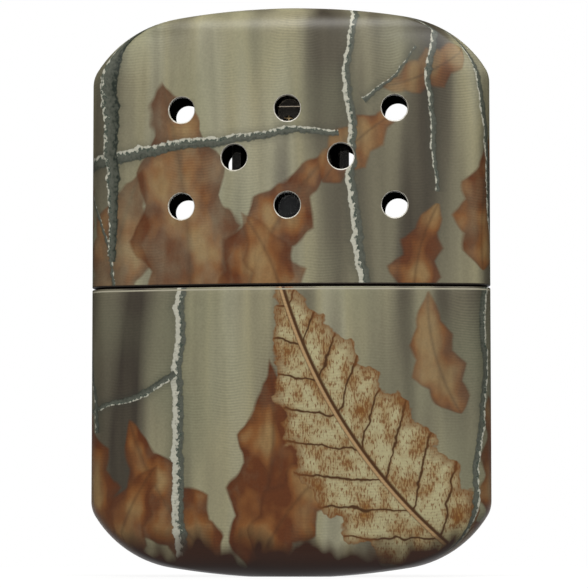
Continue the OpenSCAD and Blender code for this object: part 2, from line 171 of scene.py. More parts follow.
def makeCamera():
    yaw, pitch = (math.radians(cameraSet[k]) for k in ("yaw", "pitch"))
    back = Vector((math.sin(yaw) * math.cos(pitch), -math.cos(yaw) * math.cos(pitch),
                   math.sin(pitch)))
    data = bpy.data.cameras.new("camera")
    data.sensor_width = cameraSet["sensor"]
    data.lens = cameraSet["lens"]
    data.shift_x, data.shift_y = cameraSet["shift"]
    data.clip_start, data.clip_end = cameraSet["clip"]
    camera = bpy.data.objects.new("camera", data)
    bpy.context.scene.collection.objects.link(camera)
    camera.location = Vector(cameraSet["target"]) + back * cameraSet["distance"]
    camera.rotation_euler = (-back).to_track_quat("-Z", "Y").to_euler()
    bpy.context.scene.camera = camera


studio = {
    "white": "#FFFFFF", "floor": ("#2E2C29", "#F4F4F2"), "floorSize": 3.0,
    "floorGlow": (0.82, 1.0), "glowReach": (0.15, 0.6),   # white the floor shows, near to far
    "ambient": 0.40,                     # what the room gives to matt surfaces
    "card": "#070707", "roughness": 0.9, # black card; floor and cards are matt
    "cards": [                           # radius, foot, height, turn, middle's direction
        (0.78, 0.002, 0.46, 240, -90), (0.95, 0.002, 1.14, 190, 90),
    ],
    "cardSteps": 24,
    "ceiling": (0.95, 1.15),             # radius and height of the black card overhead
    "aim": (0, 0, 0.05),                 # where the lamps point
    "lamps": [                           # name, place, size, watts, shown in reflections
        ("softbox", (0.05, -0.58, 0.60), (0.70, 0.30), 7.0, True),
        ("strip", (0.0, -0.36, 0.62), (0.50, 0.06), 1.5, True),
        ("rear", (0.0, 0.70, 0.36), (0.60, 0.30), 7.5, False),
    ],
}


def backgroundRays(tree):
    # 1 for the rays that should meet a plain white background
    path = addNode(tree, "LightPath")
    either = calc(tree, "MAXIMUM", path.outputs["Is Camera Ray"],
                  path.outputs["Is Glossy Ray"])
    return calc(tree, "MAXIMUM", either, path.outputs["Is Transmission Ray"])


def addCard(name, bm, material):
    card = newObject(name, bm, [material], None)
    card.visible_camera = False


def makeStudio():
    white = toLinear(studio["white"])
    world = bpy.data.worlds.new("studio")
    bpy.context.scene.world = world
    world.use_nodes = True
    tree = world.node_tree
    tree.nodes.clear()
    room = addNode(tree, "Background", None, {"Color": white, "Strength": studio["ambient"]})
    seen = addNode(tree, "Background", None, {"Color": white, "Strength": 1.0})
    mix = addNode(tree, "MixShader", None,
                  {0: backgroundRays(tree), 1: room.outputs[0], 2: seen.outputs[0]})
    addNode(tree, "OutputWorld", None, {"Surface": mix.outputs[0]})

    # a matt floor that shows white, so that the background stays plain
    material, tree, shader = newMaterial("paperFloor", Roughness=studio["roughness"])
    tree.links.new(blend(tree, backgroundRays(tree), *studio["floor"]),
                   shader.inputs["Base Color"])
    glow = addNode(tree, "Emission", None, {"Color": white, "Strength": 1.0})
    away = addNode(tree, "VectorMath", {"operation": "LENGTH"}, {
        0: addNode(tree, "TexCoord").outputs["Object"]}).outputs[1]
    (near, far), (low, high) = studio["glowReach"], studio["floorGlow"]
    reach = addNode(tree, "MapRange", None, {"Value": away, "From Min": near, "From Max": far,
                                             "To Min": low, "To Max": high}).outputs[0]
    share = calc(tree, "MULTIPLY", backgroundRays(tree), reach)
    mix = addNode(tree, "MixShader", None,
                  {0: share, 1: shader.outputs[0], 2: glow.outputs[0]})
    output = next(n for n in tree.nodes if n.type == "OUTPUT_MATERIAL")
    tree.links.new(mix.outputs[0], output.inputs["Surface"])
    bm = bmesh.new()
    bmesh.ops.create_grid(bm, x_segments=1, y_segments=1, size=studio["floorSize"] / 2)
    newObject("floor", bm, [material], None)

    # black cards round the camera, behind and overhead, for the dark in bright metal
    material, tree, shader = newMaterial("blackCard", Roughness=studio["roughness"])
    shader.inputs["Base Color"].default_value = toLinear(studio["card"])
    for number, (radius, foot, height, turn, middle) in enumerate(studio["cards"]):
        bm = bmesh.new()
        start = bmesh.ops.create_vert(bm, co=(radius, 0, foot))["vert"]
        first = math.radians(middle - turn / 2)
        bmesh.ops.rotate(bm, cent=(0, 0, 0), matrix=Matrix.Rotation(first, 3, "Z"), verts=start)
        bmesh.ops.spin(bm, geom=start, cent=(0, 0, 0), axis=(0, 0, 1),
                       angle=math.radians(turn), steps=studio["cardSteps"])
        grown = bmesh.ops.extrude_edge_only(bm, edges=bm.edges[:])["geom"]
        bmesh.ops.translate(bm, vec=(0, 0, height),
                            verts=[g for g in grown if isinstance(g, bmesh.types.BMVert)])
        addCard("card" + str(number), bm, material)
    bm = bmesh.new()
    radius, height = studio["ceiling"]
    bmesh.ops.create_circle(bm, cap_ends=True, segments=2 * studio["cardSteps"],
                            radius=radius, matrix=Matrix.Translation((0, 0, height)))
    addCard("ceiling", bm, material)

    for name, place, size, watts, mirrored in studio["lamps"]:
        lamp = bpy.data.lights.new(name, "AREA")
        lamp.shape = "RECTANGLE"
        lamp.size, lamp.size_y = size
        lamp.energy = watts
        holder = bpy.data.objects.new(name, lamp)
        bpy.context.scene.collection.objects.link(holder)
        holder.location = place
        aim = Vector(place) - Vector(studio["aim"])
        holder.rotation_euler = aim.to_track_quat("Z", "Y").to_euler()
        holder.visible_camera = False
        holder.visible_glossy = mirrored


makeCamera()
makeStudio()
bpy.context.scene.view_settings.view_transform = "Standard"
print("camera, floor and light made")


shell = {
    "halfWidth": 35, "halfThick": 6.7, "side": 3.6, "wall": 0.6,
    "height": 99.5, "seam": 50.2, "gap": 0.25,
    "shoulder": 19.5, "corner": 5, "edge": 4.8,       # radii of the rounded ends
    "crownSlope": 9.5, "cornerSlope": 58,            # degrees
    "footDepth": 0.2, "topDepth": 0.12, "bluntShare": 0.85,
    "sideSteps": 26, "faceSteps": 44, "endSteps": (8, 14, 9),
    "rim": 0.22, "rimSteps": 4, "levelStep": 1.5,    # rounding of the rims, rows of faces
    "vent": 2.25, "ventFlare": 0.3, "ventSegments": 56, "ventSteps": 6,
    "ventReach": (-1.0, 2.0), "ventLift": 0.02,      # how far a plug runs out and in
    "weld": 0.0005,                                  # points closer than this are one
    "ventPitch": (18.65, 8.47), "ventDrop": 18.2,
    "printWidth": 148,                               # the print's length round the shell
}


def ovalPoints(a, b, r):
    # a flat oval as (x, y, u): two wide face arcs and two small side arcs, with
    # the print's place u, which is x on the front and runs on round the sides
    sideSteps, faceSteps = shell["sideSteps"], shell["faceSteps"]
    quarter = shell["printWidth"] / 4
    faceRadius = ((a - r) ** 2 + b * b - r * r) / (2 * (b - r))
    turn = math.atan2(faceRadius - b, a - r)
    faceEnd = a - r + r * math.cos(turn)
    points = []
    for i in range(sideSteps):
        t = -turn + 2 * turn * i / sideSteps
        points.append((a - r + r * math.cos(t), r * math.sin(t),
                       quarter + (quarter - faceEnd) * t / turn))
    for i in range(faceSteps):
        t = turn + (math.pi - 2 * turn) * i / faceSteps
        x = faceRadius * math.cos(t)
        points.append((x, b - faceRadius + faceRadius * math.sin(t), 2 * quarter - x))
    return points + [(-x, -y, u - 2 * quarter) for x, y, u in points]


def faceDepth(x):
    # half thickness of the body at a distance x from its middle, and its slope
    a, b, r = (shell[k] for k in ("halfWidth", "halfThick", "side"))
    faceRadius = ((a - r) ** 2 + b * b - r * r) / (2 * (b - r))
    return b - faceRadius + math.sqrt(faceRadius ** 2 - x * x), math.asin(x / faceRadius)


def endProfile(slope):
    # half width and depth below the crown where a rounded end has this slope
    s = shell
    first, second = math.radians(s["crownSlope"]), math.radians(s["cornerSlope"])
    crown = (s["halfWidth"] - s["shoulder"] * (math.sin(second) - math.sin(first))
             - s["corner"] * (1 - math.sin(second))) / math.sin(first)
    width = depth = 0
    for low, high, radius in ((0, first, crown), (first, second, s["shoulder"]),
                              (second, math.pi / 2, s["corner"])):
        top = min(slope, high)
        if top > low:
            width += radius * (math.sin(top) - math.sin(low))
            depth += radius * (math.cos(low) - math.cos(top))
    return width, depth, crown


def endRing(slope, inset, height, flat):
    # one level ring of a rounded end: points, height and the print's place v
    s = shell
    width, depth, _ = endProfile(slope)
    depth += inset * math.cos(slope)
    half, spot = s["halfThick"] - inset, height + flat - depth
    if depth < s["edge"]:
        half = s["halfThick"] - s["edge"] + math.sqrt(
            max(0, (s["edge"] - inset) ** 2 - (s["edge"] - depth) ** 2))
        rounding = math.asin(1 - depth / s["edge"])
        spot = height + flat - s["edge"] + s["edge"] * rounding
    plain = (s["side"] - inset) / (s["halfThick"] - inset)
    share = min(1, depth / s["edge"])
    side = half * (s["bluntShare"] + (plain - s["bluntShare"]) * share)
    points = ovalPoints(width - inset * math.sin(slope), half, side)
    return points, height + flat - depth, spot


def endSlopes(flat):
    _, _, crown = endProfile(0)
    stops = [math.acos(1 - flat / crown), math.radians(shell["crownSlope"]),
             math.radians(shell["cornerSlope"]), math.pi / 2]
    slopes = [low + (high - low) * i / count for low, high, count
              in zip(stops, stops[1:], shell["endSteps"]) for i in range(count)]
    return slopes + [stops[-1]]


def bodyRing(inset, z):
    s = shell
    return ovalPoints(s["halfWidth"] - inset, s["halfThick"] - inset, s["side"] - inset), z, z


def growRing(bm, ring, edges):
    # extrudes a closed ring of edges; gives the new ring in the same order
    grown = bmesh.ops.extrude_edge_only(bm, edges=edges)["geom"]
    fresh = {g for g in grown if isinstance(g, bmesh.types.BMVert)}
    outer = [g for g in grown if isinstance(g, bmesh.types.BMEdge)
             and g.verts[0] in fresh and g.verts[1] in fresh]
    faces = [g for g in grown if isinstance(g, bmesh.types.BMFace)]
    return [next(e.other_vert(vert) for e in vert.link_edges if e.other_vert(vert) in fresh)
            for vert in ring], outer, faces


def loftRings(bm, rings, insideFrom):
    # each ring is extruded from the one before it; the first and last are closed
    ring = bmesh.ops.create_circle(bm, segments=len(rings[0][0]), radius=1)["verts"]
    edges = list({e for vert in ring for e in vert.link_edges})
    bmesh.ops.edgeloop_fill(bm, edges=edges)
    places = {}
    for step, (points, z, v) in enumerate(rings):
        if step:
            ring, edges, faces = growRing(bm, ring, edges)
            for face in faces:
                face.material_index = 1 if step > insideFrom else 0
        for vert, (x, y, u) in zip(ring, points):
            vert.co = Vector((x, y, z)) * mm
            places[vert] = (u, v)
    bmesh.ops.edgeloop_fill(bm, edges=edges, mat_nr=1)
    # the print's map; faces over the middle of the back keep to one side of it
    layer = bm.loops.layers.uv.new("print")
    width = shell["printWidth"]
    for face in bm.faces:
        high = max(places[vert][0] for vert in face.verts)
        for loop in face.loops:
            u, v = places[loop.vert]
            if len(face.verts) < 5 and high - u > width / 2:
                u += width
            loop[layer].uv = (u, v)
    bmesh.ops.recalc_face_normals(bm, faces=bm.faces)


def drawnShell(height, flat):
    # rim at z 0 and a rounded end up: outside down to the rim, round it and up inside
    s = shell
    slopes = endSlopes(flat)
    rings = [endRing(slope, 0, height, flat) for slope in slopes]
    straight = rings[-1][1]
    count = round(straight / s["levelStep"])
    rings += [bodyRing(0, straight + (s["rim"] - straight) * i / count)
              for i in range(1, count)]
    arc = [math.pi / 2 * i / s["rimSteps"] for i in range(s["rimSteps"] + 1)]
    rings += [bodyRing(s["rim"] * (1 - math.cos(t)), s["rim"] * (1 - math.sin(t)))
              for t in arc]
    insideFrom = len(rings)
    rings += [bodyRing(s["wall"] - s["rim"] / 2, 0), bodyRing(s["wall"], s["rim"] / 2)]
    rings += [bodyRing(s["wall"], straight * i / count) for i in range(1, count)]
    rings += [endRing(slope, s["wall"], height, flat) for slope in reversed(slopes)]
    bm = bmesh.new()
    loftRings(bm, rings, insideFrom)
    return bm


def ventPlug(bm, x, z, side):
    # a plug along the face's normal, flared where it leaves the outer face
    s = shell
    depth, slope = faceDepth(x)
    first, last = s["ventReach"]
    stations = [(first, s["ventFlare"])]
    for i in range(s["ventSteps"] + 1):
        t = math.pi / 2 * i / s["ventSteps"]
        stations.append((s["ventFlare"] * (1 - math.cos(t)) - s["ventLift"],
                         s["ventFlare"] * (1 - math.sin(t))))
    stations.append((last, 0))
    normal = Vector((math.sin(slope), side * math.cos(slope), 0))
    across = Vector((normal.y, -normal.x, 0))
    centre = Vector((x, side * depth, z))
    ring = bmesh.ops.create_circle(bm, segments=s["ventSegments"], radius=1)["verts"]
    edges = list({e for v in ring for e in v.link_edges})
    bmesh.ops.edgeloop_fill(bm, edges=edges, mat_nr=2)
    for number, (inward, flare) in enumerate(stations):
        if number:
            ring, edges, faces = growRing(bm, ring, edges)
            for face in faces:
                face.material_index = 2
        for i, vert in enumerate(ring):
            t = 2 * math.pi * i / len(ring)
            radius = s["vent"] + flare
            vert.co = (centre - normal * inward + across * radius * math.cos(t)
                       + Vector((0, 0, radius * math.sin(t)))) * mm
    bmesh.ops.edgeloop_fill(bm, edges=edges, mat_nr=2)


def makeShells(coverPaint, tankPaint, inside, edgePaint):
    s = shell
    bm = drawnShell(s["seam"], s["footDepth"])
    layer = bm.loops.layers.uv["print"]
    for face in bm.faces:                # the tank is drawn upside down
        for loop in face.loops:
            loop[layer].uv.y = s["seam"] - loop[layer].uv.y
    bmesh.ops.transform(bm, matrix=Matrix.Translation((0, 0, s["seam"] * mm))
                        @ Matrix.Diagonal((1, 1, -1, 1)), verts=bm.verts)
    bmesh.ops.reverse_faces(bm, faces=bm.faces)
    newObject("tank_print", bm, [tankPaint, inside], "tank", ["tank_shell"])

    rimZ = s["seam"] + s["gap"]
    bm = drawnShell(s["height"] - rimZ, s["topDepth"])
    layer = bm.loops.layers.uv["print"]
    for face in bm.faces:
        for loop in face.loops:
            loop[layer].uv.y += rimZ
    bmesh.ops.translate(bm, vec=(0, 0, rimZ * mm), verts=bm.verts)
    cover = newObject("cover_print", bm, [coverPaint, inside, edgePaint], "cover",
                      ["cover_shell"])
    bm = bmesh.new()
    for row in range(3):
        for column in ((-0.5, 0.5) if row == 1 else (-1, 0, 1)):
            for side in (-1, 1):
                ventPlug(bm, column * s["ventPitch"][0],
                         s["height"] - s["ventDrop"] - row * s["ventPitch"][1], side)
    bmesh.ops.recalc_face_normals(bm, faces=bm.faces)
    # the vents' walls and turned-in edges take the pale edge colour: part wear, part painted
    # highlight
    plugs = newObject("vent_plugs", bm, [coverPaint, inside, edgePaint], None)
    cutWith(cover, plugs, s["weld"])
    even = cover.modifiers.new("even", "WEIGHTED_NORMAL")
    even.keep_sharp = True


printSet = {
    "finish": {"Roughness": 0.41, "Specular_IOR_Level": 0.25},
    # tree trunks out of focus: place on the streaks' noise and colour
    "trunks": [(0.30, "#38322A"), (0.39, "#5C5748"), (0.46, "#7C7761"), (0.53, "#938D70"),
               (0.60, "#97937A"), (0.70, "#6D695A")],
    "trunkNoise": ((95, 95, 9), 2.0),    # scale per metre and detail
    # soft patches over them: colour, scale, detail, shift, middle, contrast, share
    "overlays": [
        ("#5B5545", (330, 330, 24), 2.0, (5, 0), 0.44, 3.0, 0.45),
        ("#7D7F66", (60, 60, 42), 1.0, (9, 3), 0.50, 4.0, 0.45),
    ],
    # dark leaf litter at the foot, which also stands in for the shade along the bottom edge
    "litterAndShade": "#2A1204", "litterAndShadeFade": 0.26,
    # lines left by the print: their step in mm, waver, and where and how far they show
    "lines": 0.5, "lineWaver": 6.0, "lineFrom": 0.42, "lineGain": 0.75,
    "waveNoise": ((0.12, 0.05, 1), 1.0),
    "grain": 2600, "grainShare": 0.6, "relief": 0.5, "rimSharp": 12.0,
}

# A dry leaf out of focus. An outline is how near the foot it is widest and how full
# it is, and a line is its half width, as a share of the leaf's, and how sharp it is.
leafSet = {
    "outline": (0.72, 0.85), "lobes": (4, 0.3), "ragged": 0.55, "soft": 0.55,
    "paint": [(0.12, "#5A3015"), (0.42, "#7A4E28"), (0.80, "#8D7048")],
    "blotches": 2.6, "paleMiddle": 0.55,
    "streak": "#5A3A21", "streakGain": 3.5, "streakShare": 0.6,
    "vein": "#3A2010", "veinShare": 0.55, "ribLine": (0.09, 9.0), "rimLine": (0.22, 4.0),
    "thinGain": 0.7, "thinFrom": 0.3,
}

# A stem of bark, with lengths in mm. A wobble is its waves per mm and its reach.
stemSet = {
    "paint": [(0.12, "#20261F"), (0.26, "#41443B"), (0.58, "#57594F"), (0.66, "#2C3A31"),
              (0.80, "#B4B2A2")],
    "edge": "#161B17", "edgeLine": (0.16, 9.0), "edgeShare": 0.85,
    "wobbles": ((0.055, 3.4), (0.35, 0.5)), "wobbleShift": 7.3,
    "knots": 6.5, "knotLine": (0.9, 1.2), "knotSwell": 0.28,
    "ragged": 0.7, "sharp": 4.0,
    "lightRagged": 2.2, "lightGain": 0.4, "lightFrom": 0.3,
    "shadow": "#2C312B", "shadowReach": 1.2, "shadowFade": 0.5, "shadowShare": 0.4,
}

# The sharp straw-coloured leaf
strawSet = {
    "outline": (0.72, 0.85), "lobes": (9, 0.16), "ragged": 0.4, "soft": 0.35,
    "paint": ("#ABA27C", "#86602F"), "mottle": (0.42, 3.2),
    "fleck": "#6A401C", "flecks": (0.555, 9.0), "fleckShare": 0.8, "fleckInMottle": 0.18,
    "vein": "#43290F", "veinLine": (0.05, 30.0), "veinShade": "#7C5F3C",
    "shadeLine": (0.16, 3.0), "veins": 9.0, "veinSlant": 1.5, "veinWaver": 0.35,
    "edgeLine": (0.2, 5.0), "edgeShare": 0.9, "ribLine": (0.06, 40.0),
    "lit": "#A98A62", "litPlace": 0.02, "litLine": (0.028, 60.0),
}

# Motifs stand at (u, v) in mm, round the shell from the middle of a face, or of a
# side for those on the flank, and up from the foot. The turn is in degrees from
# the horizontal. Leaves: place, turn, length, half width, bend, pale share, cover.
# Stems: place, turn, length, half widths at both ends, bend, lit side, pale share.
coverLayout = {
    "rim": [(50.45, 0.34, "#20180F")],   # height, reach and colour of lines on the rim; this dark one is painted shade in the seam
    "litterAndShade": None,
    "leaves": [
        ((-31, 45), 78, 27, 6.6, 0.25, 0.1, 0.6), ((-17, 42), 97, 47, 10.5, -0.15, 0.05, 0.75),
        ((-9, 42), 62, 36, 7.6, 0.3, 0.1, 0.85), ((0, 43), 112, 22, 5.6, -0.3, 0.3, 0.7),
        ((6, 68), 42, 20, 4.6, 0.3, 0.4, 0.75), ((22, 45), 78, 20, 5.2, 0.3, 0.2, 0.8),
        ((31, 92), 205, 17, 4.2, 0.3, 0.5, 0.6),
    ],
    "flankLeaves": [((-3, 53), 84, 24, 5.4, 0.2, 0.2, 0.8)],
    "stems": [
        ((13.5, 46), 97, 58, 1.15, 0.65, -5.0, 1, 0.38),
        ((13.0, 83), 36, 13, 0.55, 0.25, 2.0, 1, 0.2),
        ((-36, 72), 12, 45, 1.30, 0.65, -4.5, 1, 0.25),
        ((-30, 46), 99, 27, 0.45, 0.25, 3.0, -1, 0.2),
        ((26, 101), 262, 34, 0.80, 0.45, 5.0, -1, 0.25),
    ],
    "flankStems": [
        ((6.5, 102), 266, 47, 2.3, 0.7, 3.0, -1, 0.12),
        ((1, 44), 93, 52, 1.0, 0.5, 4.0, 1, 0.25),
    ],
    "straw": [],
}
tankLayout = {
    # on the tank's rim: a pale line of painted highlight on the rolled rim, and a dark line of
    # painted shade in the seam
    "rim": [(49.72, 0.16, "#A39E8A"), (50.2, 0.14, "#20180F")],
    "litterAndShade": (7.5, 15.0),               # dark leaf litter, also painted shade at the foot: its height and raggedness
    "leaves": [
        ((-12, 2), 122, 30, 7.0, 0.3, 0.1, 0.9), ((-7, 1), 84, 37, 7.6, -0.25, 0.0, 0.95),
        ((-5, 2), 50, 27, 6.4, 0.3, 0.15, 0.9), ((-31, -1), 68, 22, 5.4, 0.3, 0.1, 0.8),
        ((30, 28), 105, 22, 5.2, 0.3, 0.2, 0.7), ((22, -2), 40, 18, 5.0, 0.3, 0.1, 0.9),
    ],
    "flankLeaves": [((2, 4), 98, 28, 6.4, -0.2, 0.15, 0.85)],
    "stems": [
        ((-18.5, 52), 267, 54, 0.95, 1.25, 3.0, -1, 0.42),
        ((-19.5, 35), 214, 17, 0.75, 0.5, -4.0, 1, 0.2),
        ((-33.5, 25), 98, 28, 0.6, 0.4, 2.5, 1, 0.2),
    ],
    "flankStems": [((-2, 54), 268, 55, 0.85, 0.6, -3.0, 1, 0.25)],
    "straw": [((33, 1), 124, 62, 12.5, 0.34)],   # place, turn, length, half width, bend
}


def localSpot(tree, spot, place, turn, scale=(1, 1, 1)):
    # a motif's own directions: along it and across it
    turned = addNode(tree, "Mapping", {"vector_type": "TEXTURE"}, {
        "Vector": spot, "Location": (*place, 0), "Rotation": (0, 0, math.radians(turn)),
        "Scale": scale}).outputs[0]
    parts = addNode(tree, "SeparateXYZ", None, {0: turned})
    return parts.outputs[0], parts.outputs[1]


def spread(tree, value, middle, gain, clamp=True):
    # a pattern's values drawn apart round a middle
    return calc(tree, "MULTIPLY", calc(tree, "SUBTRACT", value, middle), gain, clamp=clamp)


def stripe(tree, distance, half, sharp):
    # 1 within a distance of a line, fading out over 1 / sharp
    return calc(tree, "MULTIPLY", calc(tree, "SUBTRACT", half, distance), sharp, clamp=True)


def leafShape(tree, spot, place, turn, length, half, bend, form, edgeNoise):
    # mask, how far inside the edge a point lies, its place along and across
    along, across = localSpot(tree, spot, place, turn, (length, half, 1))
    run = calc(tree, "ADD", along, 0.0, clamp=True)
    bow = calc(tree, "MULTIPLY", calc(tree, "MULTIPLY", run, calc(
        tree, "SUBTRACT", 1.0, run)), bend * length / half)
    across = calc(tree, "SUBTRACT", across, bow)
    widest, fullness = form["outline"]
    width = calc(tree, "POWER", calc(tree, "SINE", calc(
        tree, "MULTIPLY", calc(tree, "POWER", run, widest), math.pi)), fullness)
    count, deep = form["lobes"]
    notch = calc(tree, "PINGPONG", calc(tree, "MULTIPLY", run, count), 0.5)
    width = calc(tree, "MULTIPLY", width, calc(
        tree, "ADD", calc(tree, "MULTIPLY", notch, 2 * deep), 1 - deep))
    rough = spread(tree, edgeNoise, 0.5, form["ragged"], clamp=False)
    inside = calc(tree, "SUBTRACT", calc(tree, "ADD", width, rough),
                  calc(tree, "ABSOLUTE", across))
    held = calc(tree, "LESS_THAN", calc(tree, "ABSOLUTE", calc(
        tree, "SUBTRACT", along, 0.5)), 0.5)
    mask = calc(tree, "MULTIPLY", inside, half / form["soft"], clamp=True)
    return calc(tree, "MULTIPLY", mask, held), inside, run, across


def addLeaf(tree, colour, spot, leaf, fields):
    # part see-through, with blotches, streaks and a faint midrib
    s = leafSet
    place, turn, length, half, bend, pale, cover = leaf
    mask, inside, _, across = leafShape(tree, spot, place, turn, length, half, bend,
                                        s, fields["blots"])
    tone = calc(tree, "ADD", spread(tree, fields["blots"], 0.5, s["blotches"], clamp=False),
                calc(tree, "MULTIPLY", inside, s["paleMiddle"]))
    paint = ramp(tree, calc(tree, "ADD", tone, pale, clamp=True), s["paint"])
    streaks = spread(tree, fields["streaks"], 0.5, s["streakGain"])
    paint = blend(tree, calc(tree, "MULTIPLY", streaks, s["streakShare"]), paint, s["streak"])
    rib = stripe(tree, calc(tree, "ABSOLUTE", across), *s["ribLine"])
    rim = stripe(tree, inside, *s["rimLine"])
    dark = calc(tree, "MULTIPLY", calc(tree, "MAXIMUM", rib, rim), s["veinShare"])
    paint = blend(tree, dark, paint, s["vein"])
    thin = calc(tree, "ADD", calc(tree, "MULTIPLY", fields["mottle"], s["thinGain"]),
                cover - s["thinFrom"], clamp=True)
    return blend(tree, calc(tree, "MULTIPLY", mask, thin), colour, paint)


def addStem(tree, colour, spot, stem, fields):
    # bark, dark on one side with a narrow ragged light side, and a soft shadow
    s = stemSet
    place, turn, length, wide, narrow, bend, lit, pale = stem
    along, across = localSpot(tree, spot, place, turn)
    run = calc(tree, "DIVIDE", along, length, clamp=True)
    bow = calc(tree, "MULTIPLY", calc(tree, "MULTIPLY", run, run), bend)
    for waves, reach in s["wobbles"]:
        wobble = addNode(tree, "TexNoise", {"noise_dimensions": "1D"}, {
            "W": calc(tree, "ADD", along, place[0] * s["wobbleShift"]), "Scale": waves,
            "Detail": 1.0}).outputs[0]
        bow = calc(tree, "ADD", bow, spread(tree, wobble, 0.5, reach, clamp=False))
    across = calc(tree, "SUBTRACT", across, bow)
    knot = calc(tree, "PINGPONG", calc(tree, "ADD", along, place[0]), s["knots"])
    width = calc(tree, "ADD", calc(tree, "MULTIPLY", run, narrow - wide), wide)
    width = calc(tree, "MULTIPLY", width, calc(tree, "ADD", calc(
        tree, "MULTIPLY", stripe(tree, knot, *s["knotLine"]), s["knotSwell"]), 1.0))
    bark = calc(tree, "SUBTRACT", fields["bark"], 0.5)
    inside = calc(tree, "SUBTRACT", calc(tree, "ADD", width, calc(
        tree, "MULTIPLY", bark, s["ragged"])), calc(tree, "ABSOLUTE", across))
    held = calc(tree, "LESS_THAN", calc(tree, "ABSOLUTE", calc(
        tree, "SUBTRACT", along, length / 2)), length / 2)
    shadow = calc(tree, "MULTIPLY", calc(tree, "ADD", inside, s["shadowReach"]),
                  s["shadowFade"], clamp=True)
    colour = blend(tree, calc(tree, "MULTIPLY", calc(tree, "MULTIPLY", shadow, held),
                              s["shadowShare"]), colour, s["shadow"])
    mask = calc(tree, "MULTIPLY", calc(tree, "MULTIPLY", inside, s["sharp"], clamp=True), held)
    side = calc(tree, "ADD", calc(tree, "DIVIDE", calc(tree, "MULTIPLY", across, lit), width),
                calc(tree, "MULTIPLY", bark, s["lightRagged"]))
    level = calc(tree, "ADD", calc(tree, "MULTIPLY", side, s["lightGain"]),
                 s["lightFrom"] + pale, clamp=True)
    edge = calc(tree, "MULTIPLY", stripe(tree, inside, *s["edgeLine"]), s["edgeShare"])
    paint = blend(tree, edge, ramp(tree, level, s["paint"]), s["edge"])
    return blend(tree, mask, colour, paint)


def addStraw(tree, colour, spot, straw, fields):
    # a midrib, side veins, brown mottling and flecks
    s = strawSet
    place, turn, length, half, bend = straw
    mask, inside, run, across = leafShape(tree, spot, place, turn, length, half, bend,
                                          s, fields["crinkle"])
    size = calc(tree, "ABSOLUTE", across)
    mottle = spread(tree, fields["mottle"], *s["mottle"])
    paint = blend(tree, mottle, *s["paint"])
    flecks = spread(tree, calc(tree, "ADD", fields["flecks"], calc(
        tree, "MULTIPLY", mottle, s["fleckInMottle"])), *s["flecks"])
    paint = blend(tree, calc(tree, "MULTIPLY", flecks, s["fleckShare"]), paint, s["fleck"])
    # side veins slant forward from the midrib, with a shade along each
    slant = calc(tree, "ADD", calc(tree, "MULTIPLY", size, s["veinSlant"]), calc(
        tree, "MULTIPLY", fields["crinkle"], s["veinWaver"]))
    vein = calc(tree, "PINGPONG", calc(tree, "SUBTRACT", calc(
        tree, "MULTIPLY", run, s["veins"]), slant), 0.5)
    paint = blend(tree, stripe(tree, vein, *s["shadeLine"]), paint, s["veinShade"])
    paint = blend(tree, stripe(tree, vein, *s["veinLine"]), paint, s["vein"])
    # brown along the edges, a dark midrib with a lit line beside it
    edge = calc(tree, "MULTIPLY", stripe(tree, inside, *s["edgeLine"]), s["edgeShare"])
    paint = blend(tree, edge, paint, s["fleck"])
    paint = blend(tree, stripe(tree, size, *s["ribLine"]), paint, s["vein"])
    lit = calc(tree, "ABSOLUTE", calc(tree, "SUBTRACT", across, s["litPlace"]))
    paint = blend(tree, stripe(tree, lit, *s["litLine"]), paint, s["lit"])
    return blend(tree, mask, colour, paint)


